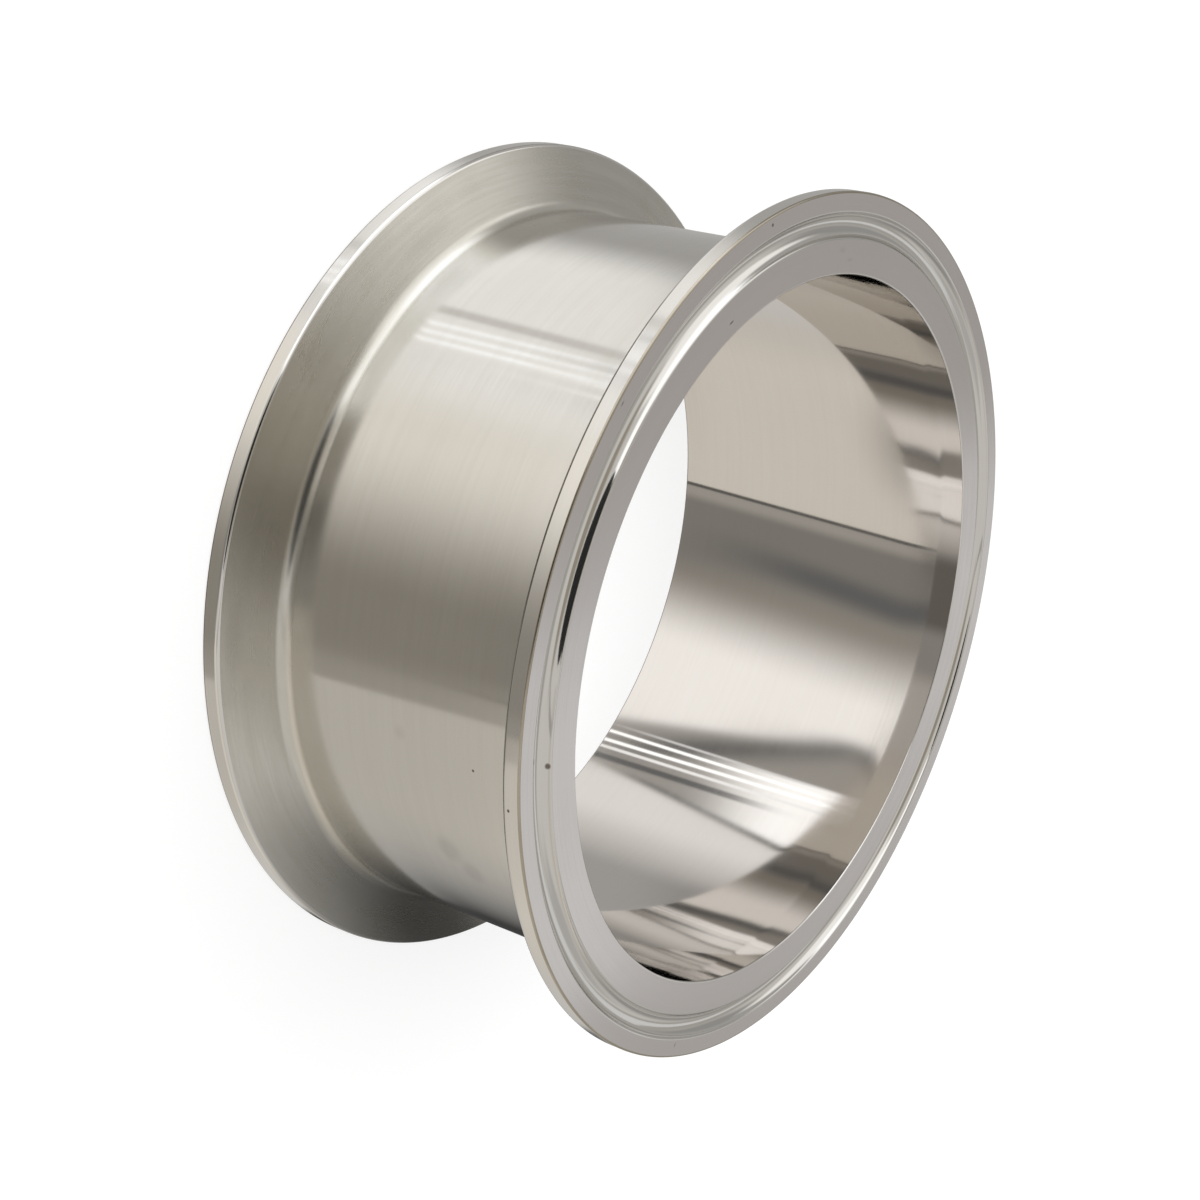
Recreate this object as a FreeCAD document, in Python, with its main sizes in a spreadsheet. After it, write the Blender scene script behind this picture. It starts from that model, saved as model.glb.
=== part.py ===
"""Sanitary clamp spool: a short polished tube between two clamp flanges, turned as one piece.

The spool stands on its end. Its axis is Z, and the origin is the centre of the bottom face.
One half is modelled up from the bottom face and mirrored about the middle of the length.
"""

import FreeCAD, Part
import Sketcher
import math
import os

NODE = "spool"

# Driving sizes in millimetres, with the two slopes in degrees
SIZES = [
    ("spool_length", 50.8, "from face to face"),
    ("tube_od", 101.6, "outside diameter of the tube between the flanges"),
    ("wall", 2.0, "thickness of the tube's wall, which sets the bore"),
    ("flange_height", 8.7, "how far a flange stands out from the tube"),
    ("rim_width", 2.5, "width of a flange at its outer edge"),
    ("clamp_angle", 20.0, "slope of a flange's back, where the clamp grips it"),
    ("root_fillet", 2.0, "radius where a flange's back runs into the tube"),
    ("rim_corner", 0.5, "chamfer between a flange's back and its rim"),
    ("face_edge", 0.4, "chamfer between a flange's face and its rim"),
    ("mouth_edge", 0.25, "chamfer between a flange's face and the bore"),
    ("groove_inset", 4.35, "from the rim to the middle of the gasket groove"),
    ("groove_width", 3.3, "width of the gasket groove at the face"),
    ("groove_depth", 1.2, "depth of the gasket groove"),
    ("groove_lip", 0.08, "how much each sloped lip widens the gasket groove at the face"),
    ("lip_slope", 45.0, "slope of the gasket groove's lips from the face"),
]

# Formulas that the sketches share
TUBE_RADIUS = "Sizes.tube_od / 2"
RIM_RADIUS = "Sizes.tube_od / 2 + Sizes.flange_height"
GROOVE_RADIUS = "Sizes.tube_od / 2 + Sizes.flange_height - Sizes.groove_inset"

# A sketch's own origin and its horizontal axis, as its constraints name them
SKETCH_AXIS = -1
START, END, CENTRE = 1, 2, 3

# How many straight runs the round bottom of the gasket groove is drawn with
GROOVE_RUNS = 6

# How near an edge has to be to the place where it is looked for, in millimetres
FIND_WITHIN = 0.001


def make_sheet(doc):
    """The spreadsheet that holds every size under its own name."""
    sheet = doc.addObject("Spreadsheet::Sheet", "Sizes")
    for row, (name, value, meaning) in enumerate(SIZES, start=1):
        sheet.set(f"A{row}", name)
        sheet.set(f"B{row}", str(value))
        sheet.set(f"C{row}", meaning)
        sheet.setAlias(f"B{row}", name)
    doc.recompute()
    return sheet


def origin_plane(body, role):
    """The body's own origin plane of that role."""
    for feature in body.Origin.OriginFeatures:
        if feature.Role == role:
            return feature
    raise RuntimeError(f"the body has no {role}")


def add_sketch(body, name):
    """An empty sketch on the XZ plane: its x is the radius and its y is the height."""
    sketch = body.newObject("Sketcher::SketchObject", name)
    sketch.AttachmentSupport = (origin_plane(body, "XZ_Plane"), [""])
    sketch.MapMode = "FlatFace"
    return sketch


def dimension(sketch, name, formula, *constraint):
    """Adds a dimension to the sketch, names it and ties it to the sheet."""
    index = sketch.addConstraint(Sketcher.Constraint(*constraint))
    sketch.renameConstraint(index, name)
    sketch.setExpression(f"Constraints.{name}", formula)


def turn(body, kind, name, sketch):
    """A full turn of the sketch about the spool's axis, which adds or cuts by its kind."""
    feature = body.newObject(kind, name)
    feature.Profile = sketch
    feature.ReferenceAxis = (sketch, ["V_Axis"])
    feature.Angle = 360.0
    return feature


def half_section(body, sheet):
    """Half of the spool's section: the bottom flange, and the tube up to mid length."""
    tube_radius = sheet.tube_od / 2
    bore_radius = tube_radius - sheet.wall
    rim_radius = tube_radius + sheet.flange_height
    middle = sheet.spool_length / 2
    root = root_arc(sheet)
    corners = [
        (bore_radius, 0.0),
        (rim_radius, 0.0),
        (rim_radius, sheet.rim_width),
        (root.EndPoint.x, root.EndPoint.y),
        (root.StartPoint.x, root.StartPoint.y),
        (tube_radius, middle),
        (bore_radius, middle),
    ]
    points = [FreeCAD.Vector(radius, height, 0) for radius, height in corners]
    sides = [Part.LineSegment(points[side - 1], points[side]) for side in range(len(points))]
    sketch = add_sketch(body, "HalfSection")
    bore, face, rim, back, fillet, barrel, middle_cut = range(len(points))
    sides[fillet] = root
    for side in sides:
        sketch.addGeometry(side, False)
    for before, after in ((bore, face), (face, rim), (rim, back), (barrel, middle_cut), (middle_cut, bore)):
        sketch.addConstraint(Sketcher.Constraint("Coincident", before, END, after, START))
    sketch.addConstraint(Sketcher.Constraint("Tangent", back, END, fillet, END))
    sketch.addConstraint(Sketcher.Constraint("Tangent", barrel, START, fillet, START))
    for line in (face, middle_cut):
        sketch.addConstraint(Sketcher.Constraint("Horizontal", line))
    for line in (bore, rim, barrel):
        sketch.addConstraint(Sketcher.Constraint("Vertical", line))
    sketch.addConstraint(Sketcher.Constraint("PointOnObject", face, START, SKETCH_AXIS))
    across = ("DistanceX", SKETCH_AXIS, START)
    dimension(sketch, "rim_radius", RIM_RADIUS, *across, rim, START, rim_radius)
    dimension(sketch, "tube_radius", TUBE_RADIUS, *across, barrel, END, tube_radius)
    dimension(sketch, "wall", "Sizes.wall", "DistanceX", middle_cut, END, middle_cut, START, sheet.wall)
    dimension(sketch, "rim_width", "Sizes.rim_width", "DistanceY", rim, START, rim, END, sheet.rim_width)
    dimension(sketch, "middle", "Sizes.spool_length / 2", "DistanceY", bore, END, bore, START, middle)
    dimension(sketch, "root_fillet", "Sizes.root_fillet", "Radius", fillet, sheet.root_fillet)
    slope = math.radians(180.0 - sheet.clamp_angle)
    dimension(sketch, "back_slope", "(180 - Sizes.clamp_angle) * 1 deg", "Angle", back, slope)
    return sketch


def root_arc(sheet):
    """The arc that leads a flange's back into the tube, from the tube round to the back."""
    turn = math.radians(90.0 - sheet.clamp_angle)
    meeting_height = sheet.rim_width + sheet.flange_height * math.tan(math.radians(sheet.clamp_angle))
    centre_radius = sheet.tube_od / 2 + sheet.root_fillet
    centre_height = meeting_height + sheet.root_fillet * math.tan(turn / 2)
    circle = Part.Circle(
        FreeCAD.Vector(centre_radius, centre_height, 0), FreeCAD.Vector(0, 0, 1), sheet.root_fillet
    )
    return Part.ArcOfCircle(circle, math.pi, math.pi + turn)


def groove_section(body, sheet):
    """The section of the gasket groove: short runs round its bottom, between two sloped lips."""
    middle = sheet.tube_od / 2 + sheet.flange_height - sheet.groove_inset
    half_width = sheet.groove_width / 2
    depth = sheet.groove_depth
    edge = half_width + sheet.groove_lip
    bottom_radius = (half_width**2 + depth**2) / (2 * depth)
    sunk = bottom_radius - depth
    lip_run, lip_rise = lip_size(edge, sunk, bottom_radius, math.radians(sheet.lip_slope))

    def point(across, height):
        return FreeCAD.Vector(middle + across, height, 0)

    circle = Part.Circle(point(0, -sunk), FreeCAD.Vector(0, 0, 1), bottom_radius)
    start = math.atan2(lip_rise + sunk, edge - lip_run)
    sketch = add_sketch(body, "GrooveSection")
    mouth = sketch.addGeometry(Part.LineSegment(point(-edge, 0), point(edge, 0)), False)
    outer_lip = sketch.addGeometry(Part.LineSegment(point(edge, 0), point(edge - lip_run, lip_rise)), False)
    bottom = sketch.addGeometry(Part.ArcOfCircle(circle, start, math.pi - start), True)
    inner_lip = sketch.addGeometry(Part.LineSegment(point(lip_run - edge, lip_rise), point(-edge, 0)), False)
    deepest = sketch.addGeometry(Part.Point(point(0, depth)), True)
    side = sketch.addGeometry(Part.Point(point(half_width, 0)), True)
    for before, after in ((mouth, outer_lip), (outer_lip, bottom), (bottom, inner_lip), (inner_lip, mouth)):
        sketch.addConstraint(Sketcher.Constraint("Coincident", before, END, after, START))
    draw_runs(sketch, bottom, outer_lip, inner_lip)
    sketch.addConstraint(Sketcher.Constraint("Horizontal", mouth))
    sketch.addConstraint(Sketcher.Constraint("Equal", outer_lip, inner_lip))
    for held in (mouth, side):
        sketch.addConstraint(Sketcher.Constraint("PointOnObject", held, START, SKETCH_AXIS))
    for held in (deepest, side):
        sketch.addConstraint(Sketcher.Constraint("PointOnObject", held, START, bottom))
    sketch.addConstraint(Sketcher.Constraint("Vertical", bottom, CENTRE, deepest, START))
    for name, lip, sign in (("outer_slope", outer_lip, -1), ("inner_slope", inner_lip, 1)):
        slope = math.radians(180.0 + sign * sheet.lip_slope)
        dimension(sketch, name, f"(180 + {sign} * Sizes.lip_slope) * 1 deg", "Angle", lip, slope)
    middle_place = ("DistanceX", SKETCH_AXIS, START, deepest, START)
    dimension(sketch, "groove_radius", GROOVE_RADIUS, *middle_place, middle)
    depth_place = ("DistanceY", SKETCH_AXIS, START, deepest, START)
    dimension(sketch, "groove_depth", "Sizes.groove_depth", *depth_place, depth)
    half_place = ("DistanceX", deepest, START, side, START)
    dimension(sketch, "half_width", "Sizes.groove_width / 2", *half_place, half_width)
    lip_place = ("DistanceX", side, START, mouth, END)
    dimension(sketch, "groove_lip", "Sizes.groove_lip", *lip_place, sheet.groove_lip)
    return sketch


def draw_runs(sketch, bottom, outer_lip, inner_lip):
    """Equal straight runs from lip to lip, with their ends on the round bottom."""
    arc = sketch.Geometry[bottom]
    step = (arc.LastParameter - arc.FirstParameter) / GROOVE_RUNS
    ends = [arc.value(arc.FirstParameter + step * number) for number in range(GROOVE_RUNS + 1)]
    runs = [sketch.addGeometry(Part.LineSegment(first, last), False) for first, last in zip(ends, ends[1:])]
    for before, after in zip(runs, runs[1:]):
        sketch.addConstraint(Sketcher.Constraint("Coincident", before, END, after, START))
        sketch.addConstraint(Sketcher.Constraint("PointOnObject", before, END, bottom))
        sketch.addConstraint(Sketcher.Constraint("Equal", before, after))
    sketch.addConstraint(Sketcher.Constraint("Coincident", outer_lip, END, runs[0], START))
    sketch.addConstraint(Sketcher.Constraint("Coincident", runs[-1], END, inner_lip, START))


def lip_size(edge, sunk, bottom_radius, slope):
    """How far a lip runs in and up from the groove's edge before it meets the round bottom."""
    half = edge * math.cos(slope) - sunk * math.sin(slope)
    length = half - math.sqrt(half**2 - edge**2 - sunk**2 + bottom_radius**2)
    return length * math.cos(slope), length * math.sin(slope)


def circle_names(shape, radius, height):
    """Names of the round edges about the spool's axis with that radius and height."""
    names = []
    for number, edge in enumerate(shape.Edges, start=1):
        curve = edge.Curve
        if not isinstance(curve, Part.Circle):
            continue
        same_radius = abs(curve.Radius - radius) < FIND_WITHIN
        same_place = (curve.Center - FreeCAD.Vector(0, 0, height)).Length < FIND_WITHIN
        if same_radius and same_place:
            names.append(f"Edge{number}")
    if not names:
        raise RuntimeError(f"no round edge at radius {radius} and height {height}")
    return names


def break_edge(body, name, size, radius, height):
    """A chamfer of the named size on the round edge at that radius and height."""
    body.Document.recompute()
    base = body.Tip
    chamfer = body.newObject("PartDesign::Chamfer", name)
    chamfer.Base = (base, circle_names(base.Shape, radius, height))
    chamfer.setExpression("Size", f"Sizes.{size}")
    return chamfer


def cut_gasket_groove(body, sheet):
    """The round-bottomed groove in the face that seats the gasket's bead."""
    body.Document.recompute()
    before = body.Tip.Shape.Volume
    groove = turn(body, "PartDesign::Groove", "GasketGroove", groove_section(body, sheet))
    body.Document.recompute()
    if groove.Shape.Volume >= before:
        raise RuntimeError("the gasket groove cuts nothing")


def mirror_half(body):
    """The other half of the spool, mirrored about the plane at mid length."""
    middle = body.newObject("PartDesign::Plane", "MidLength")
    middle.AttachmentSupport = (origin_plane(body, "XY_Plane"), [""])
    middle.MapMode = "FlatFace"
    middle.setExpression(".AttachmentOffset.Base.z", "Sizes.spool_length / 2")
    body.Document.recompute()
    mirror = body.newObject("PartDesign::Mirrored", "OtherHalf")
    mirror.TransformMode = "Whole shape"
    mirror.MirrorPlane = (middle, [""])
    mirror.Refine = True
    body.Tip = mirror


def make_spool(doc, sheet):
    """The spool as one turned body."""
    body = doc.addObject("PartDesign::Body", "Spool")
    body.Label = NODE
    turn(body, "PartDesign::Revolution", "HalfSpool", half_section(body, sheet))
    cut_gasket_groove(body, sheet)

    tube_radius = sheet.tube_od / 2
    bore_radius = tube_radius - sheet.wall
    rim_radius = tube_radius + sheet.flange_height
    break_edge(body, "RimCorner", "rim_corner", rim_radius, sheet.rim_width)
    break_edge(body, "FaceEdge", "face_edge", rim_radius, 0.0)
    break_edge(body, "MouthEdge", "mouth_edge", bore_radius, 0.0)
    mirror_half(body)
    return body


def check_document(doc):
    """Stops the build where an object of the document has failed."""
    for item in doc.Objects:
        for state in ("Invalid", "Error"):
            if state in item.State:
                raise RuntimeError(f"{item.Label} is in state {item.State}")


def write_part(body):
    """Writes the finished solid under its node's name."""
    shape = body.Shape
    if shape.isNull() or not shape.isValid() or len(shape.Solids) != 1:
        raise RuntimeError(f"{body.Label} isn't one valid solid")
    os.makedirs("parts", exist_ok=True)
    shape.exportStep(f"parts/{body.Label}.step")
    box = shape.optimalBoundingBox()
    print(f"{body.Label}: {box.XLength:.2f} x {box.YLength:.2f} x {box.ZLength:.2f} mm")
    print(f"volume {shape.Volume:.1f} mm3, {len(shape.Faces)} faces")


def main():
    doc = FreeCAD.newDocument("SanitarySpool")
    sheet = make_sheet(doc)
    spool = make_spool(doc, sheet)
    doc.recompute()
    check_document(doc)
    write_part(spool)


main()
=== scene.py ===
"""Looks of a sanitary spool: a short turned tube with a clamp flange on each end.

The spool stands on its bottom flange with its axis along Z. Blender's unit is the metre, and
MM turns the millimetres that the turned section is given in into metres.
"""

import math

import bpy
from mathutils import Matrix, Vector


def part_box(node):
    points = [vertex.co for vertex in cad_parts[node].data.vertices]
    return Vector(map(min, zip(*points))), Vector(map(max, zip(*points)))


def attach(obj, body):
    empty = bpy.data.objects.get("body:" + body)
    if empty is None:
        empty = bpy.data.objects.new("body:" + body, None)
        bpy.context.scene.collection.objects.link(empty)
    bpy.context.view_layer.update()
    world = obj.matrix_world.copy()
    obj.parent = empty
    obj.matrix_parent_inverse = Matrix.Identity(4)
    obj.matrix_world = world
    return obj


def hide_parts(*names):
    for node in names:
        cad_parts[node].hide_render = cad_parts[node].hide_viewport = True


MM = 0.001

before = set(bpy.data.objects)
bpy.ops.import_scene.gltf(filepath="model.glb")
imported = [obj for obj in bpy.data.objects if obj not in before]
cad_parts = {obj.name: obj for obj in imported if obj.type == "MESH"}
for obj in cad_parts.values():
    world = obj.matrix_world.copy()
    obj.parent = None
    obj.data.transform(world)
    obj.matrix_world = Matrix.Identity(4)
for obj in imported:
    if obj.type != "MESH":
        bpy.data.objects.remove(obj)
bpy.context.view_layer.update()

# Sizes of the turned section in millimetres
LOWEST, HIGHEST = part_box("spool")
LENGTH = (HIGHEST.z - LOWEST.z) / MM
RIM_RADIUS = round((HIGHEST.x - LOWEST.x) / 2 / MM, 2)
FLANGE_HEIGHT = 8.7
TUBE_RADIUS = RIM_RADIUS - FLANGE_HEIGHT
WALL = 2.0
BORE_RADIUS = TUBE_RADIUS - WALL
RIM_WIDTH = 2.5
CLAMP_ANGLE = 20.0
ROOT_FILLET = 2.0
RIM_CORNER = 0.65
FACE_EDGE = 0.28
MOUTH_EDGE = 0.22
GROOVE_INSET = 4.35
GROOVE_RADIUS = RIM_RADIUS - GROOVE_INSET
GROOVE_HALF_WIDTH = 1.65
GROOVE_DEPTH = 1.2
GROOVE_LIP = 0.3

# Near its upper mouth the bore narrows a little. These are the distances from the mouth at which
# it starts to lean in, leans most and runs straight again, and its greatest lean in degrees.
NARROW_FROM = 10.0
NARROW_TO = 4.0
NARROW_END = 3.2
NARROW_TILT = 0.9

# How many straight steps stand for one turn of the mesh and for each curve of its section
TURN_STEPS = 480
NARROW_STEPS = 10
STRAIGHTEN_STEPS = 4
MOUTH_STEPS = 5
LIP_STEPS = 4
GROOVE_STEPS = 20
CORNER_STEPS = 6
ROOT_STEPS = 10

# The finishes in the order of the mesh's material slots. The line width and length are in
# metres, the relief of the lines is in millimetres, and the seed shifts the patterns.
FINISHES = {
    "polished_bore": {
        "tint": (0.667, 0.646, 0.624),
        "worn_tint": (0.647, 0.621, 0.594),
        "roughness": 0.055,
        "spread": 0.03,
        "anisotropy": 0.75,
        "line_width": 0.00014,
        "line_length": 0.02,
        "relief": 0.0001,
        "seed": 3.0,
    },
    "turned_face": {
        "tint": (0.664, 0.639, 0.632),
        "worn_tint": (0.628, 0.599, 0.588),
        "roughness": 0.14,
        "spread": 0.05,
        "anisotropy": 0.8,
        "line_width": 0.00022,
        "line_length": 0.03,
        "relief": 0.00012,
        "seed": 11.0,
    },
    "polished_groove": {
        "tint": (0.67, 0.66, 0.64),
        "worn_tint": (0.65, 0.635, 0.61),
        "roughness": 0.09,
        "spread": 0.04,
        "anisotropy": 0.7,
        "line_width": 0.00012,
        "line_length": 0.03,
        "relief": 0.0001,
        "seed": 17.0,
    },
    # The rounded edge between the face and the rim: rougher than the rim, and darker and browner than the
    # steel beside it
    "dull_edge": {
        "tint": (0.50, 0.46, 0.39),
        "worn_tint": (0.38, 0.34, 0.27),
        "roughness": 0.20,
        "spread": 0.08,
        "anisotropy": 0.6,
        "line_width": 0.00012,
        "line_length": 0.004,
        "relief": 0.0002,
        "seed": 19.0,
    },
    "bright_rim": {
        "tint": (0.73, 0.72, 0.70),
        "worn_tint": (0.69, 0.675, 0.65),
        "roughness": 0.12,
        "spread": 0.05,
        "anisotropy": 0.7,
        "line_width": 0.00012,
        "line_length": 0.02,
        "relief": 0.0002,
        "seed": 23.0,
    },
    "clamp_back": {
        "tint": (0.675, 0.66, 0.62),
        "worn_tint": (0.545, 0.525, 0.465),
        "roughness": 0.25,
        "spread": 0.08,
        "anisotropy": 0.8,
        "line_width": 0.0003,
        "line_length": 0.015,
        "relief": 0.00004,
        "seed": 29.0,
    },
    "brushed_tube": {
        "tint": (0.665, 0.655, 0.63),
        "worn_tint": (0.625, 0.61, 0.577),
        "roughness": 0.10,
        "spread": 0.05,
        "anisotropy": 0.88,
        "line_width": 0.00018,
        "line_length": 0.012,
        "relief": 0.00018,
        "seed": 37.0,
    },
}

# How much of the wear comes with the cloudy patches, the fine lines and the broad lines
PATCH_SHARE = 0.4
LINE_SHARE = 0.3
BROAD_LINE_SHARE = 0.3

# Between which noise levels a line and a patch rise from nothing to full strength
LINE_RISE = (0.3, 0.7)
PATCH_RISE = (0.35, 0.7)

# The size of the cloudy patches in metres, and how many fine lines go into a broad one
PATCH_SIZE = 0.018
BROAD_LINE_WIDTH = 7.0

# A quarter turn of the gloss spreads the reflections across the turning lines
ACROSS_LINES = 0.25


class Station:
    """A point of the turned section with its outward normal and the finish that follows it."""

    def __init__(self, radius, height, normal_angle, finish):
        self.radius = radius
        self.height = height
        self.normal_angle = normal_angle
        self.finish = finish

    def mirrored(self):
        return Station(self.radius, LENGTH - self.height, -self.normal_angle, self.finish)


def rounded(middle, radius, first, last, steps, finish, then, hollow=False):
    """Stations round a corner whose normal turns from the first angle to the last, in degrees."""
    side = -1 if hollow else 1
    stations = []
    for step in range(steps + 1):
        degrees = first + (last - first) * step / steps
        angle = math.radians(degrees)
        across = middle[0] + side * radius * math.cos(angle)
        up = middle[1] + side * radius * math.sin(angle)
        stations.append(Station(across, up, degrees, finish if step < steps else then))
    return stations


def bore_stations(narrow_tilt):
    """The bore from mid length down to its mouth, leaning in by up to the tilt given in degrees."""
    bore = "polished_bore"
    stations = [Station(BORE_RADIUS, LENGTH / 2, 180.0, bore)]
    reach = NARROW_FROM - NARROW_TO
    for step in range(NARROW_STEPS + 1):
        share = step / NARROW_STEPS
        # The tilt grows with the square of the share, so the radius shrinks with its cube
        radius = BORE_RADIUS - reach * math.radians(narrow_tilt) * share**3 / 3
        tilt = narrow_tilt * share**2
        stations.append(Station(radius, NARROW_FROM - reach * share, 180.0 - tilt, bore))
    for step in range(1, STRAIGHTEN_STEPS + 1):
        share = step / STRAIGHTEN_STEPS
        height = NARROW_TO + (NARROW_END - NARROW_TO) * share
        stations.append(Station(radius, height, 180.0 - narrow_tilt * (1 - share), bore))
    mouth = (radius + MOUTH_EDGE, MOUTH_EDGE)
    return stations + rounded(mouth, MOUTH_EDGE, 180.0, 270.0, MOUTH_STEPS, "bright_rim", "turned_face")


def groove_stations():
    """The gasket groove with a small rounding on both of its lips."""
    radius = (GROOVE_HALF_WIDTH**2 + GROOVE_DEPTH**2) / (2 * GROOVE_DEPTH)
    sunk = radius - GROOVE_DEPTH
    reach = math.sqrt((radius + GROOVE_LIP) ** 2 - (GROOVE_LIP + sunk) ** 2)
    swing = math.degrees(math.atan2(reach, GROOVE_LIP + sunk))
    lip_in = (GROOVE_RADIUS - reach, GROOVE_LIP)
    lip_out = (GROOVE_RADIUS + reach, GROOVE_LIP)
    middle = (GROOVE_RADIUS, -sunk)
    groove = "polished_groove"
    inner = rounded(lip_in, GROOVE_LIP, 270.0, 270.0 + swing, LIP_STEPS, groove, groove)
    bottom = rounded(middle, radius, 270.0 + swing, 270.0 - swing, GROOVE_STEPS, groove, groove, hollow=True)
    outer = rounded(lip_out, GROOVE_LIP, 270.0 - swing, 270.0, LIP_STEPS, groove, "turned_face")
    return inner + bottom[1:-1] + outer


def flange_stations():
    """The rim, the sloped back and the fillet that leads into the tube."""
    slope = math.radians(CLAMP_ANGLE)
    back = 90.0 - CLAMP_ANGLE
    edge = (RIM_RADIUS - FACE_EDGE, FACE_EDGE)
    corner_rise = RIM_WIDTH - RIM_CORNER * math.tan(math.radians(back / 2))
    corner = (RIM_RADIUS - RIM_CORNER, corner_rise)
    meeting = RIM_WIDTH + FLANGE_HEIGHT * math.tan(slope)
    root = (TUBE_RADIUS + ROOT_FILLET, meeting + ROOT_FILLET * math.tan(math.radians(back / 2)))
    return (
        rounded(edge, FACE_EDGE, -90.0, 0.0, CORNER_STEPS, "dull_edge", "bright_rim")
        + rounded(corner, RIM_CORNER, 0.0, back, CORNER_STEPS, "bright_rim", "clamp_back")
        + rounded(root, ROOT_FILLET, back, 0.0, ROOT_STEPS, "clamp_back", "brushed_tube", hollow=True)
    )


def half_section(narrow_tilt):
    """From mid length of the bore round one flange to mid length of the tube."""
    half = bore_stations(narrow_tilt) + groove_stations() + flange_stations()
    half.append(Station(TUBE_RADIUS, LENGTH / 2, 0.0, "brushed_tube"))
    return half


def whole_section():
    """The closed section: down the bore and up the outside to mid length, then the way back."""
    lower = half_section(0.0)
    upper = half_section(NARROW_TILT)
    return lower, [station.mirrored() for station in reversed(upper[1:-1])]


def add_object(name, data):
    """An object in the scene with the mesh, lamp or camera given."""
    made = bpy.data.objects.new(name, data)
    bpy.context.scene.collection.objects.link(made)
    return made


def turn_spool():
    """The spool as one mesh, turned about Z, with a material slot for each finish."""
    lower, way_back = whole_section()
    stations = lower + way_back
    bands = [station.finish for station in lower[:-1]]
    bands += list(reversed(bands))
    slot_of = {finish: slot for slot, finish in enumerate(FINISHES)}
    vertices = []
    normals = []
    for station in stations:
        lean = math.radians(station.normal_angle)
        for step in range(TURN_STEPS):
            turn = 2 * math.pi * step / TURN_STEPS
            outward = Vector((math.cos(turn), math.sin(turn), 0))
            vertices.append(outward * station.radius * MM + Vector((0, 0, station.height * MM)))
            normals.append(outward * math.cos(lean) + Vector((0, 0, math.sin(lean))))
    faces = []
    slots = []
    for row, finish in enumerate(bands):
        this_ring = row * TURN_STEPS
        next_ring = (row + 1) % len(stations) * TURN_STEPS
        for step in range(TURN_STEPS):
            ahead = (step + 1) % TURN_STEPS
            faces.append((this_ring + step, this_ring + ahead, next_ring + ahead, next_ring + step))
            slots.append(slot_of[finish])
    mesh = bpy.data.meshes.new("turned_spool")
    mesh.from_pydata(vertices, [], faces)
    mesh.polygons.foreach_set("material_index", slots)
    mesh.polygons.foreach_set("use_smooth", [True] * len(faces))
    mesh.normals_split_custom_set_from_vertices(normals)
    mesh.validate()
    return add_object("turned_spool", mesh)


class Nodes:
    """Short ways to place and join the nodes of one tree."""

    def __init__(self, tree):
        self.tree = tree

    def add(self, kind, settings=None, **inputs):
        """A node with its settings and with its input sockets set or joined."""
        node = self.tree.nodes.new(kind)
        for name, value in (settings or {}).items():
            setattr(node, name, value)
        for name, value in inputs.items():
            self.feed(node.inputs[name.replace("_", " ")], value)
        return node

    def feed(self, socket, value):
        if isinstance(value, bpy.types.NodeSocket):
            self.tree.links.new(value, socket)
        else:
            socket.default_value = value

    def math(self, operation, *values):
        node = self.add("ShaderNodeMath", {"operation": operation})
        for socket, value in zip(node.inputs, values):
            self.feed(socket, value)
        return node.outputs[0]

    def ease(self, value, low, high, to_low=0.0, to_high=1.0):
        """A smooth step from to_low at low to to_high at high."""
        node = self.add("ShaderNodeMapRange", {"interpolation_type": "SMOOTHSTEP"})
        for socket, number in zip(node.inputs, (value, low, high, to_low, to_high)):
            self.feed(socket, number)
        return node.outputs["Result"]

    def blend(self, share, first, second):
        """The first colour at share 0 and the second at share 1."""
        node = self.add("ShaderNodeMix", {"data_type": "RGBA"})
        self.feed(node.inputs["Factor"], share)
        self.feed(node.inputs[6], first)
        self.feed(node.inputs[7], second)
        return node.outputs[2]

    def mix_shaders(self, share, first, second):
        """The first shader at share 0 and the second at share 1."""
        node = self.add("ShaderNodeMixShader", Fac=share)
        self.feed(node.inputs[1], first)
        self.feed(node.inputs[2], second)
        return node.outputs[0]


def new_material(name):
    """An empty material and its nodes."""
    material = bpy.data.materials.new(name)
    material.use_nodes = True
    material.node_tree.nodes.clear()
    return material, Nodes(material.node_tree)


def new_group(name, inputs, outputs):
    """An empty node group whose sockets all carry numbers. The inputs come with their defaults."""
    tree = bpy.data.node_groups.new(name, "ShaderNodeTree")
    for socket, default in inputs.items():
        made = tree.interface.new_socket(socket, in_out="INPUT", socket_type="NodeSocketFloat")
        made.default_value = default
    for socket in outputs:
        tree.interface.new_socket(socket, in_out="OUTPUT", socket_type="NodeSocketFloat")
    nodes = Nodes(tree)
    return tree, nodes, nodes.add("NodeGroupInput").outputs, nodes.add("NodeGroupOutput")


def place_on_spool(nodes):
    """The X, Y and Z of a place on the spool, and its distance from the axis."""
    place = nodes.add("ShaderNodeTexCoord").outputs["Object"]
    split = nodes.add("ShaderNodeSeparateXYZ", Vector=place).outputs
    flat = nodes.add("ShaderNodeCombineXYZ", X=split["X"], Y=split["Y"]).outputs[0]
    radius = nodes.add("ShaderNodeVectorMath", {"operation": "LENGTH"}, Vector=flat).outputs["Value"]
    return split, radius


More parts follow.
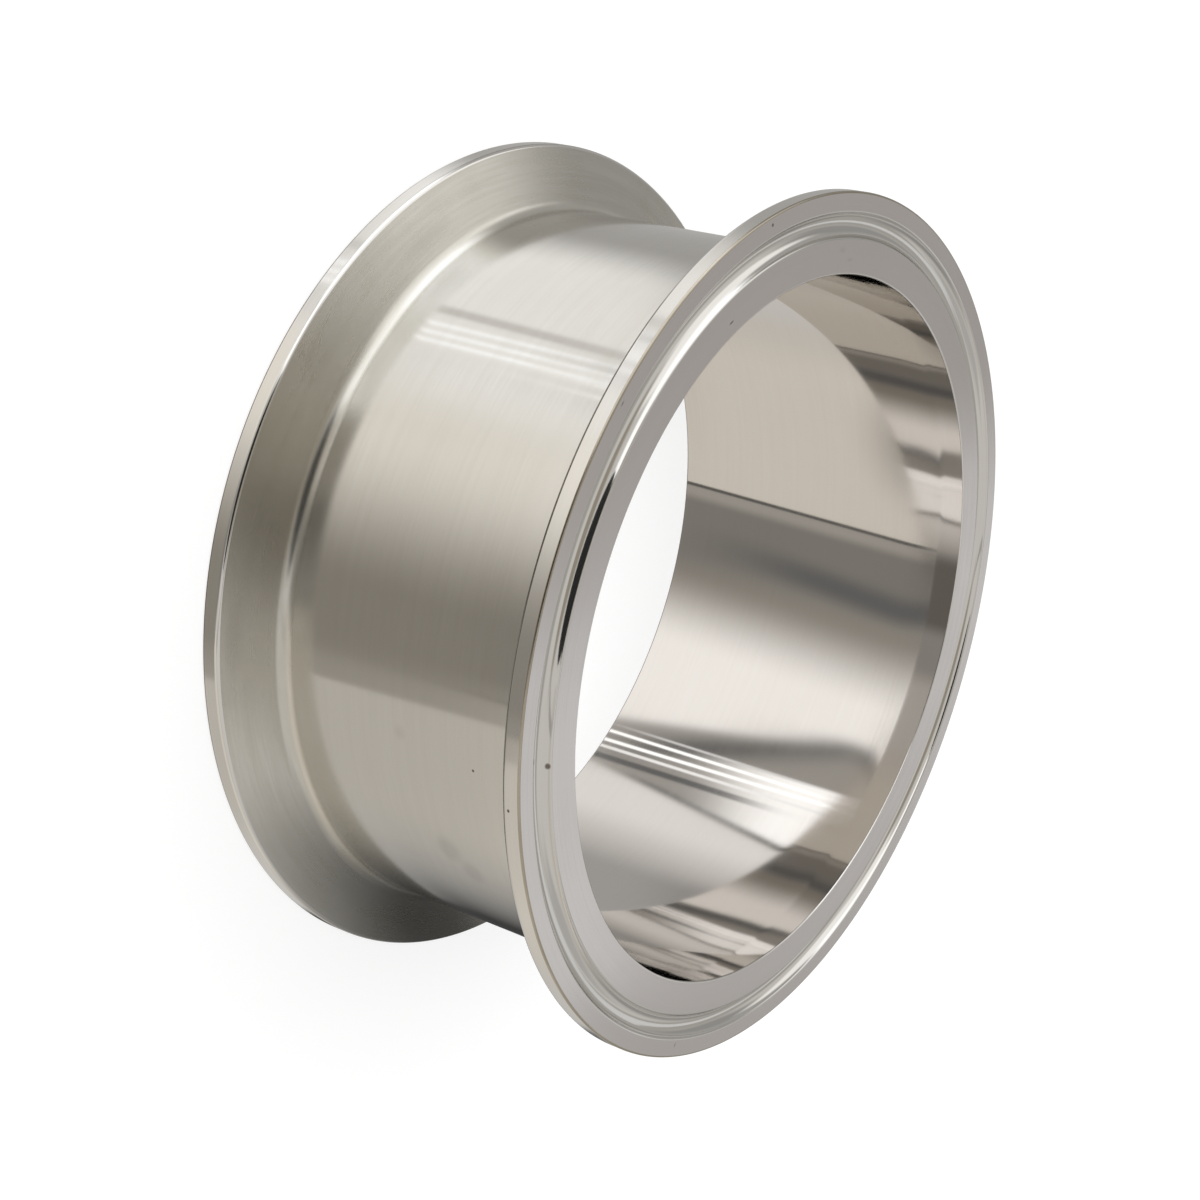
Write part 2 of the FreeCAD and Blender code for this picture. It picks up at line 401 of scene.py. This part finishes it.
def turning_marks_group():
    """Fine lines that a lathe or a polishing belt leaves round the spool."""
    tree, nodes, given, result = new_group(
        "Turning Marks", {"Line Width": 0.0001, "Line Length": 0.03, "Seed": 0.0}, ["Lines", "Broad Lines"]
    )
    split, radius = place_on_spool(nodes)
    along = nodes.math("ADD", radius, split["Z"])
    for name, factor, detail in (("Lines", 1.0, 3.0), ("Broad Lines", BROAD_LINE_WIDTH, 2.0)):
        width = nodes.math("MULTIPLY", given["Line Width"], factor)
        length = nodes.math("MULTIPLY", given["Line Length"], math.sqrt(factor))
        vector = nodes.add(
            "ShaderNodeCombineXYZ",
            X=nodes.math("DIVIDE", split["X"], length),
            Y=nodes.math("DIVIDE", split["Y"], length),
            Z=nodes.math("ADD", nodes.math("DIVIDE", along, width), given["Seed"]),
        ).outputs[0]
        noise = nodes.add("ShaderNodeTexNoise", Vector=vector, Scale=1.0, Detail=detail, Roughness=0.6)
        nodes.feed(result.inputs[name], noise.outputs["Fac"])
    return tree


def handling_group():
    """Faint cloudy patches that polishing and handling leave on steel."""
    tree, nodes, given, result = new_group(
        "Handling Marks", {"Patch Size": 0.02, "Seed": 0.0}, ["Patches"]
    )
    place = nodes.add("ShaderNodeTexCoord").outputs["Object"]
    shifted = nodes.add("ShaderNodeVectorMath", {"operation": "ADD"})
    nodes.feed(shifted.inputs[0], place)
    nodes.feed(shifted.inputs[1], given["Seed"])
    scale = nodes.math("DIVIDE", 1.0, given["Patch Size"])
    noise = nodes.add(
        "ShaderNodeTexNoise", Vector=shifted.outputs[0], Scale=scale, Detail=4.0, Roughness=0.55
    )
    patches = nodes.ease(noise.outputs["Fac"], *PATCH_RISE)
    nodes.feed(result.inputs["Patches"], patches)
    return tree


def spot_group():
    """A soft oval spot at one turn and one height, or at one radius where Flat is 1."""
    tree, nodes, given, result = new_group(
        "Spot",
        {"Turn": 0.0, "Place": 0.0, "Turn Reach": 1.0, "Place Reach": 1.0, "Softness": 0.5, "Flat": 0.0},
        ["Mask"],
    )
    split, radius = place_on_spool(nodes)
    turn = nodes.math("DEGREES", nodes.math("ARCTAN2", split["Y"], split["X"]))
    away = nodes.math("WRAP", nodes.math("SUBTRACT", turn, given["Turn"]), 180.0, -180.0)
    rise = nodes.math("MULTIPLY_ADD", given["Flat"], nodes.math("SUBTRACT", radius, split["Z"]), split["Z"])
    off = nodes.math("SUBTRACT", nodes.math("DIVIDE", rise, MM), given["Place"])
    away = nodes.math("DIVIDE", away, given["Turn Reach"])
    off = nodes.math("DIVIDE", off, given["Place Reach"])
    squared = nodes.math("MULTIPLY_ADD", away, away, nodes.math("MULTIPLY", off, off))
    core = nodes.math("SUBTRACT", 1.0, given["Softness"])
    nodes.feed(result.inputs["Mask"], nodes.ease(nodes.math("SQRT", squared), core, 1.0, 1.0, 0.0))
    return tree


TURNING_MARKS = turning_marks_group()
HANDLING_MARKS = handling_group()
SPOT = spot_group()

# Small dark spots on each finish: turn and its reach in degrees, place and its reach in millimetres,
# softness, strength. The place is a height, or a radius on the flat finishes.
SPOTS = {
    "brushed_tube": [
        (-58.2, 0.28, 36.6, 0.24, 0.5, 0.95),
        (-60.2, 1.8, 25.0, 1.4, 1.0, 0.09),
        (-40.8, 3.6, 29.4, 2.6, 0.7, 0.15),
        (-37.2, 3.2, 32.2, 2.3, 0.7, 0.13),
    ],
    # The three broad, faint spots on the sloped back darken it and make it more tan in soft patches
    "clamp_back": [
        (-69.5, 8.0, 57.4, 2.0, 1.0, 0.10),
        (-109.0, 7.0, 56.2, 2.6, 1.0, 0.09),
        (-131.0, 8.0, 54.8, 2.4, 1.0, 0.08),
    ],
    "bright_rim": [(-61.2, 0.27, 49.2, 0.24, 0.5, 0.95)],
    "polished_groove": [(-65.0, 0.55, 53.7, 0.26, 0.6, 0.9)],
    "turned_face": [
        (-132.0, 0.7, 50.6, 0.14, 0.6, 0.85),
        (-143.5, 0.3, 58.4, 0.3, 0.6, 0.85),
        (-109.5, 0.5, 58.6, 0.14, 0.7, 0.7),
        (-105.8, 0.25, 56.8, 0.16, 0.7, 0.7),
        (-161.5, 1.2, 52.0, 0.6, 1.0, 0.09),
        (-164.0, 1.4, 50.7, 0.4, 1.0, 0.10),
        (0.0, 0.3, 57.7, 0.5, 0.8, 0.33),
    ],
}
FLAT_FINISHES = ("clamp_back", "polished_groove", "turned_face")
MARK_TINT = (0.13, 0.11, 0.09, 1)


def add_spots(nodes, name, colour):
    """The finish's colour with its small marks laid over it."""
    for turn, turn_reach, place, place_reach, softness, strength in SPOTS.get(name, []):
        mask = nodes.add(
            "ShaderNodeGroup",
            {"node_tree": SPOT},
            Turn=turn,
            Place=place,
            Turn_Reach=turn_reach,
            Place_Reach=place_reach,
            Softness=softness,
            Flat=1.0 if name in FLAT_FINISHES else 0.0,
        ).outputs["Mask"]
        colour = nodes.blend(nodes.math("MULTIPLY", mask, strength), colour, MARK_TINT)
    return colour


def steel(name, look):
    """A stainless steel finish with turning lines, cloudy handling marks and its own gloss."""
    material, nodes = new_material(name)
    seed = look["seed"]
    lines = nodes.add(
        "ShaderNodeGroup",
        {"node_tree": TURNING_MARKS},
        Line_Width=look["line_width"],
        Line_Length=look["line_length"],
        Seed=seed,
    ).outputs
    marks = nodes.add("ShaderNodeGroup", {"node_tree": HANDLING_MARKS}, Patch_Size=PATCH_SIZE, Seed=seed)
    patches = marks.outputs["Patches"]
    streaks = nodes.ease(lines["Lines"], *LINE_RISE)
    broad = nodes.ease(lines["Broad Lines"], *LINE_RISE)
    brushed = nodes.math("MULTIPLY_ADD", streaks, LINE_SHARE, nodes.math("MULTIPLY", broad, BROAD_LINE_SHARE))
    mixed = nodes.math("MULTIPLY_ADD", patches, PATCH_SHARE, brushed)
    tinted = nodes.blend(mixed, (*look["tint"], 1), (*look["worn_tint"], 1))
    spread = look["spread"]
    swing = nodes.math("MULTIPLY_ADD", nodes.math("SUBTRACT", lines["Lines"], 0.5), spread, look["roughness"])
    cloudy = nodes.math("MULTIPLY_ADD", patches, spread * PATCH_SHARE, swing)
    bump = nodes.add("ShaderNodeBump", Height=lines["Lines"], Distance=look["relief"] * MM, Strength=1.0)
    shader = nodes.add(
        "ShaderNodeBsdfPrincipled",
        Base_Color=add_spots(nodes, name, tinted),
        Metallic=1.0,
        Roughness=cloudy,
        Anisotropic=look["anisotropy"],
        Anisotropic_Rotation=ACROSS_LINES,
        Normal=bump.outputs["Normal"],
    )
    nodes.add("ShaderNodeOutputMaterial", Surface=shader.outputs[0])
    return material


# The soft boxes, walls and dark gaps that the steel reflects, each laid over those before it.
# Both sides: azimuth at elevation -30, how far it leans for each degree of elevation, softness.
# Both ends: elevation and softness. Then brightness and warmth.
# BENEATH and BETWEEN are ends that many panels share. BETWEEN parts what the outside sees
# from what the bore sees.
BENEATH = (-52, 8)
BETWEEN = (-32.9, 0.6)
STUDIO = {
    "ceiling": ((-200, 0, 30), (-40, 0, 20), (60, 16), (90, 1), 0.34, 0.30),
    "back_left_wall": ((84, 0.4, 16), (168, 0.4, 16), BENEATH, (22, 10), 0.46, 0.06),
    "back_left_gap": ((108, 0, 16), (134, 0.1, 14), (12, 12), (36, 10), 0.38, 0.06),
    "high_softbox": ((142, 0, 16), (-122.5, -0.35, 12), (22, 10), (57, 12), 1.22, 0.04),
    "back_wall": ((70, 0, 10), (108, 0, 10), (-5, 14), (62, 14), 0.46, 0.10),
    "back_wall_light": ((163.3, -1.44, 2), (143.5, -0.85, 1), (18, 4), (40, 6), 0.80, 0.02),
    "back_right_wall": ((20, 0, 14), (74, 0, 12), (-5, 12), (18, 16), 0.34, 0.06),
    "back_right_high": ((10, 0, 14), (62, 0, 12), (24, 16), (50, 14), 0.54, 0.06),
    "front_right_wall": ((-60, 0, 1), (26, 0, 44), BENEATH, (20, 14), 0.59, 0.16),
    "right_wall_high": ((-60, 0, 1), (24, 0, 36), BETWEEN, (10, 14), 0.77, 0.18),
    "seam": ((-50.5, 0, 1.5), (-46, 0, 1.5), (14, 12), (58, 12), 0.42, 0.10),
    # What the outside and the rims see
    "dark_front": ((-116, 0, 10), (-41.6, -0.8, 0.8), BENEATH, BETWEEN, 0.285, 0.24),
    "lit_edge": ((-50, -0.8, 12), (-41.6, -0.8, 0.8), BENEATH, BETWEEN, 0.37, 0.20),
    "front_wall": ((-140, 0, 16), (-92, 0, 52), BENEATH, BETWEEN, 0.97, 0.15),
    "left_wall": ((157, 0.3, 26), (-128, 0.3, 22), (-42, 5), BETWEEN, 1.16, 0.04),
    "dark_stripe": ((-158.9, 0.65, 2.0), (-155.6, 0.65, 1.6), BENEATH, BETWEEN, 0.78, 0.08),
    "stripe_one": ((-155.0, 0.3, 0.8), (-153.6, 0.3, 0.6), BENEATH, BETWEEN, 1.55, 0.0),
    "stripe_two": ((-151.4, 0.3, 0.6), (-150.1, 0.3, 0.6), BENEATH, BETWEEN, 1.55, 0.0),
    "stripe_three": ((-148.2, 0.3, 0.6), (-146.9, 0.3, 0.6), BENEATH, BETWEEN, 1.55, 0.0),
    "low_back_gap": ((60, 0, 8), (100, 0, 10), BENEATH, (-28.5, 3), 0.07, 0.0),
    "back_window": ((74, 0, 6), (90, 0, 4), (-32.6, 0.4), (-31.6, 0.4), 0.75, 0.0),
    # What the bore sees, with the lower front above it
    "low_back_left": ((118, 0, 12), (166, 0, 12), (-28, 4), (-18, 6), 0.22, 0.16),
    "dark_front_high": ((-112, 0, 10), (-46.4, -0.37, 0.4), BETWEEN, (10, 12), 0.26, 0.16),
    "lit_edge_high": ((-51.5, -0.37, 4), (-46.4, -0.37, 0.4), BETWEEN, (0, 10), 0.42, 0.16),
    "edge_line": ((-47.5, -0.37, 0.4), (-46.4, -0.37, 0.4), BETWEEN, (0, 10), 0.10, 0.10),
    "mid_front": ((-96, 0, 16), (-76, 0, 12), BETWEEN, (4, 10), 0.33, 0.20),
    "dark_fold": ((-70, -1.3, 7), (-62, -1.3, 7), (-29.5, 4), (-18, 8), 0.16, 0.0),
    "bright_front": ((-133, 2.5, 5), (-92, -0.6, 28), BETWEEN, (-6, 14), 1.25, 0.06),
    "left_softbox_low": ((-180, 0, 18), (-140, 0, 8), BETWEEN, (-20, 8), 1.02, 0.06),
    "left_softbox": ((-184, 0, 14), (-112, 0, 16), (-18, 8), (32, 10), 1.55, 0.0),
    "left_softbox_far": ((-179, 0, 8), (-152, 0, 16), (-14, 6), (16, 10), 2.0, -0.1),
    "front_high_light": ((-116, 0, 10), (-90, 0, 12), (-14, 6), (16, 10), 0.6, 0.2),
    "window_ground": ((-160.2, -1.9, 1.6), (-133, 2.5, 4), BETWEEN, (-22, 2), 0.42, 0.14),
    "window_shade": ((-144.5, 4.4, 5), (-138.0, 4.4, 5), (-31.5, 3), (-25.4, 1), 0.13, -0.04),
    "window": ((-157.4, -1.9, 1.8), (-139.6, 0.3, 1.6), (-28.2, 2.2), (-22, 2), 1.5, 0.02),
    "window_curve": ((-159.4, -2.0, 0.8), (-157.8, -2.0, 0.8), (-30.8, 1.5), (-24, 1), 0.12, 0.0),
    "window_gap": ((-153.7, 0.3, 1.2), (-151.4, 0.3, 1.0), BETWEEN, (-27.6, 1.6), 0.16, 0.0),
    "strip_one": ((-149.1, 0.3, 0.5), (-148.0, 0.3, 0.5), BETWEEN, (-22, 1), 1.35, 0.0),
    "strip_two": ((-146.2, 0.4, 0.5), (-145.0, 0.4, 0.5), BETWEEN, (-22, 1), 1.8, 0.0),
    "strip_three": ((-142.7, 0.2, 0.5), (-141.6, 0.2, 0.5), BETWEEN, (-25.9, 0.5), 1.8, 0.0),
    "strip_four": ((-139.7, 0.15, 0.6), (-138.9, 0.15, 0.6), (-31, 2), (-26.3, 0.5), 1.0, 0.0),
}

# How much red a warmth of 1 adds, and how much blue it takes away
WARM_RED = 0.35
WARM_BLUE = 0.55

# Behind all panels: the brightness and warmth of the room, and of the dimmer light beneath it
TENT_LIGHT = (0.72, 0.08)
UNDER_LIGHT = (0.10, 0.3)
UNDER_SOFTNESS = 12

# The elevation at which a leaning side stands at its own azimuth
LEAN_FROM = -30.0

# How bright the room is for matt things such as the floor
MATT_LIGHT = (0.5, 0.5, 0.5, 1)
WHITE = (1, 1, 1, 1)

# The elevations at which one part of the studio gives way to the next
ZONES = (-90, -33.3, -19, 90)


def warm(level, warmth):
    """A light level as a colour, with more red and less blue for a warmer one."""
    return (level * (1 + WARM_RED * warmth), level, level * (1 - WARM_BLUE * warmth), 1)


def past_side(nodes, azimuth, lowered, side):
    """How far past a panel's leaning side a direction lies, eased from 0 to 1 by its softness."""
    place, lean, soft = side
    leaned = nodes.math("MULTIPLY_ADD", lowered, -lean, azimuth)
    away = nodes.math("WRAP", nodes.math("SUBTRACT", leaned, place), 180.0, -180.0)
    return nodes.ease(away, -soft / 2, soft / 2)


def lay_panel(nodes, azimuth, elevation, behind, panel):
    """One panel of the studio, laid over the light behind it."""
    first, last, (low, soft_low), (high, soft_high), level, warmth = panel
    lowered = nodes.math("SUBTRACT", elevation, LEAN_FROM)
    mask = past_side(nodes, azimuth, lowered, first)
    within = nodes.math("SUBTRACT", 1.0, past_side(nodes, azimuth, lowered, last))
    mask = nodes.math("MULTIPLY", mask, within)
    if high < 90:
        under = nodes.ease(elevation, high - soft_high / 2, high + soft_high / 2, 1.0, 0.0)
        mask = nodes.math("MULTIPLY", mask, under)
    if low > -90:
        over = nodes.ease(elevation, low - soft_low / 2, low + soft_low / 2)
        mask = nodes.math("MULTIPLY", mask, over)
    return nodes.blend(mask, behind, warm(level, warmth))


def zone_light(nodes, azimuth, elevation, low, high):
    """The light of one zone of the studio, with only the panels that reach into it."""
    half_soft = UNDER_SOFTNESS / 2
    risen = nodes.ease(elevation, BENEATH[0] - half_soft, BENEATH[0] + half_soft)
    colour = nodes.blend(risen, warm(*UNDER_LIGHT), warm(*TENT_LIGHT))
    for panel in STUDIO.values():
        bottom, top = panel[2][0] - panel[2][1], panel[3][0] + panel[3][1]
        if bottom < high and top > low:
            colour = lay_panel(nodes, azimuth, elevation, colour, panel)
    return nodes.add("ShaderNodeBackground", Color=colour, Strength=1.0).outputs[0]


def light_studio():
    """White for the camera, and the soft boxes, walls and dark gaps for what the steel reflects."""
    world = bpy.data.worlds.new("studio")
    bpy.context.scene.world = world
    world.use_nodes = True
    world.node_tree.nodes.clear()
    nodes = Nodes(world.node_tree)
    direction = nodes.add("ShaderNodeTexCoord").outputs["Generated"]
    split = nodes.add("ShaderNodeSeparateXYZ", Vector=direction).outputs
    azimuth = nodes.math("DEGREES", nodes.math("ARCTAN2", split["Y"], split["X"]))
    elevation = nodes.math("DEGREES", nodes.math("ARCSINE", split["Z"]))
    studio = zone_light(nodes, azimuth, elevation, ZONES[0], ZONES[1])
    for low, high in zip(ZONES[1:], ZONES[2:]):
        above = nodes.math("GREATER_THAN", elevation, low)
        studio = nodes.mix_shaders(above, studio, zone_light(nodes, azimuth, elevation, low, high))
    rays = nodes.add("ShaderNodeLightPath").outputs
    seen_white = nodes.math("MAXIMUM", rays["Is Camera Ray"], rays["Is Transmission Ray"])
    plain = nodes.add("ShaderNodeBackground", Color=MATT_LIGHT, Strength=1.0).outputs[0]
    white = nodes.add("ShaderNodeBackground", Color=WHITE, Strength=1.0).outputs[0]
    shown = nodes.mix_shaders(rays["Is Glossy Ray"], plain, studio)
    nodes.add("ShaderNodeOutputWorld", Surface=nodes.mix_shaders(seen_white, shown, white))


def hide_from_all_but_steel(card):
    """A card is only there for the steel to reflect."""
    card.visible_camera = False
    card.visible_diffuse = False
    card.visible_transmission = False
    card.visible_shadow = False


def lay_sheet(name, half_width, half_height):
    """A flat sheet about its own middle. Its half sizes are in metres."""
    mesh = bpy.data.meshes.new(name)
    corners = [
        (-half_width, -half_height, 0),
        (half_width, -half_height, 0),
        (half_width, half_height, 0),
        (-half_width, half_height, 0),
    ]
    mesh.from_pydata(corners, [], [(0, 1, 2, 3)])
    return add_object(name, mesh)


# The camera's place in millimetres, how far it looks down and rolls in degrees, its lens and
# sensor in millimetres, its shift, and the nearest thing that it shows in metres
CAMERA_PLACE = (1.27, -254.61, 185.30)
CAMERA_DOWN = 31.297
CAMERA_ROLL = 106.162
CAMERA_LENS = 63.752
CAMERA_SENSOR = 36.0
CAMERA_SHIFT = (-0.05654, 0.00717)
CAMERA_NEAREST = 0.01

# The dark round shape about the camera: how far its middle lies to the right of the lens and
# above it, and its radius, in millimetres, and its brightness
HOOD_MIDDLE = (-10, -30)
HOOD_RADIUS = 120
HOOD_LEVEL = 0.03
HOOD_STEPS = 96

# The painted shadow card: a dark side card that stands for the spool's own shadow on the table it lay on,
# and that only the steel reflects. Its middle, its size and how far its edges fade in millimetres, and its
# brightness
PAINTED_SHADOW_MIDDLE = (63, 18, 16)
PAINTED_SHADOW_SIZE = (76, 110)
PAINTED_SHADOW_SOFT = (30, 50)
PAINTED_SHADOW_LEVEL = 0.05

# The floor: its half width and how far it lies under the spool in metres, the brightness that
# it adds for the camera alone, and its own matt grey
FLOOR_REACH = 6.0
FLOOR_DROP = 0.00002
FLOOR_GLOW = 0.72
FLOOR_GREY = (0.35, 0.35, 0.35, 1)

# The lamp overhead: its strength, and its width and lean in degrees
LAMP_STRENGTH = 1.6
LAMP_WIDTH = 70
LAMP_LEAN = (12, -14)


def camera_tilt():
    """Turns the camera's look down to the spool, before the camera's own roll."""
    return Matrix.Rotation(math.radians(90 - CAMERA_DOWN), 4, "X")


def hang_hood():
    """The dark round shape about the camera, square to its look."""
    corners = []
    for step in range(HOOD_STEPS):
        turn = 2 * math.pi * step / HOOD_STEPS
        across = HOOD_MIDDLE[0] + HOOD_RADIUS * math.cos(turn)
        up = HOOD_MIDDLE[1] + HOOD_RADIUS * math.sin(turn)
        corners.append((across * MM, up * MM, 0))
    mesh = bpy.data.meshes.new("hood")
    mesh.from_pydata(corners, [], [range(HOOD_STEPS)])
    hood = add_object("hood", mesh)
    hood.matrix_world = Matrix.Translation(Vector(CAMERA_PLACE) * MM) @ camera_tilt()
    material, nodes = new_material("hood")
    glow = nodes.add("ShaderNodeEmission", Color=warm(HOOD_LEVEL, 0.0), Strength=1.0)
    nodes.add("ShaderNodeOutputMaterial", Surface=glow.outputs[0])
    mesh.materials.append(material)
    hide_from_all_but_steel(hood)


def hang_painted_shadow_card():
    """Painted shadow: a dark card with soft edges close beside the spool, standing for the spool's shadow on
    the table it lay on, which only the steel reflects.
    """
    half_width = PAINTED_SHADOW_SIZE[0] / 2
    half_height = PAINTED_SHADOW_SIZE[1] / 2
    card = lay_sheet("painted_shadow_card", half_width * MM, half_height * MM)
    card.location = Vector(PAINTED_SHADOW_MIDDLE) * MM
    card.rotation_euler = (0, math.radians(90), 0)
    material, nodes = new_material("painted_shadow_card")
    place = nodes.add("ShaderNodeTexCoord").outputs["Object"]
    split = nodes.add("ShaderNodeSeparateXYZ", Vector=place).outputs
    solid = (half_width - PAINTED_SHADOW_SOFT[0], half_height - PAINTED_SHADOW_SOFT[1])
    from_middle = nodes.math("ABSOLUTE", split["X"])
    across = nodes.ease(from_middle, solid[0] * MM, half_width * MM, 1.0, 0.0)
    from_middle = nodes.math("ABSOLUTE", split["Y"])
    along = nodes.ease(from_middle, solid[1] * MM, half_height * MM, 1.0, 0.0)
    # This dark glow, faded at the edges, is the painted shadow of the spool on its table
    glow = nodes.add("ShaderNodeEmission", Color=warm(PAINTED_SHADOW_LEVEL, 0.0), Strength=1.0)
    clear = nodes.add("ShaderNodeBsdfTransparent")
    mixed = nodes.mix_shaders(nodes.math("MULTIPLY", across, along), clear.outputs[0], glow.outputs[0])
    nodes.add("ShaderNodeOutputMaterial", Surface=mixed)
    card.data.materials.append(material)
    hide_from_all_but_steel(card)


def lay_floor():
    """A pale floor that keeps the spool's soft shadow."""
    floor = lay_sheet("floor", FLOOR_REACH, FLOOR_REACH)
    floor.location.z = -FLOOR_DROP
    material, nodes = new_material("pale_floor")
    rays = nodes.add("ShaderNodeLightPath").outputs
    strength = nodes.math("MULTIPLY", rays["Is Camera Ray"], FLOOR_GLOW)
    glow = nodes.add("ShaderNodeEmission", Color=WHITE, Strength=strength)
    matt = nodes.add("ShaderNodeBsdfDiffuse", Color=FLOOR_GREY)
    both = nodes.add("ShaderNodeAddShader")
    nodes.feed(both.inputs[0], glow.outputs[0])
    nodes.feed(both.inputs[1], matt.outputs[0])
    nodes.add("ShaderNodeOutputMaterial", Surface=both.outputs[0])
    floor.data.materials.append(material)
    floor.visible_glossy = False
    floor.visible_shadow = False


def hang_lamp():
    """One very soft lamp overhead, which draws the spool's shadow on the floor."""
    lamp = bpy.data.lights.new("overhead_lamp", "SUN")
    lamp.energy = LAMP_STRENGTH
    lamp.angle = math.radians(LAMP_WIDTH)
    holder = add_object("overhead_lamp", lamp)
    holder.rotation_euler = (math.radians(LAMP_LEAN[0]), math.radians(LAMP_LEAN[1]), 0)
    holder.visible_glossy = False


def place_camera():
    """The photograph's view: the spool lies across the picture, so the camera is rolled."""
    camera = bpy.data.cameras.new("camera")
    camera.lens = CAMERA_LENS
    camera.sensor_width = CAMERA_SENSOR
    camera.shift_x, camera.shift_y = CAMERA_SHIFT
    camera.clip_start = CAMERA_NEAREST
    holder = add_object("camera", camera)
    roll = Matrix.Rotation(math.radians(CAMERA_ROLL), 4, "Z")
    holder.matrix_world = Matrix.Translation(Vector(CAMERA_PLACE) * MM) @ camera_tilt() @ roll
    bpy.context.scene.camera = holder


spool = turn_spool()
for finish, look in FINISHES.items():
    spool.data.materials.append(steel(finish, look))
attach(spool, "root")
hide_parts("spool")

light_studio()
hang_hood()
hang_painted_shadow_card()
lay_floor()
hang_lamp()
place_camera()
bpy.context.scene.view_settings.view_transform = "Standard"

bpy.context.view_layer.update()
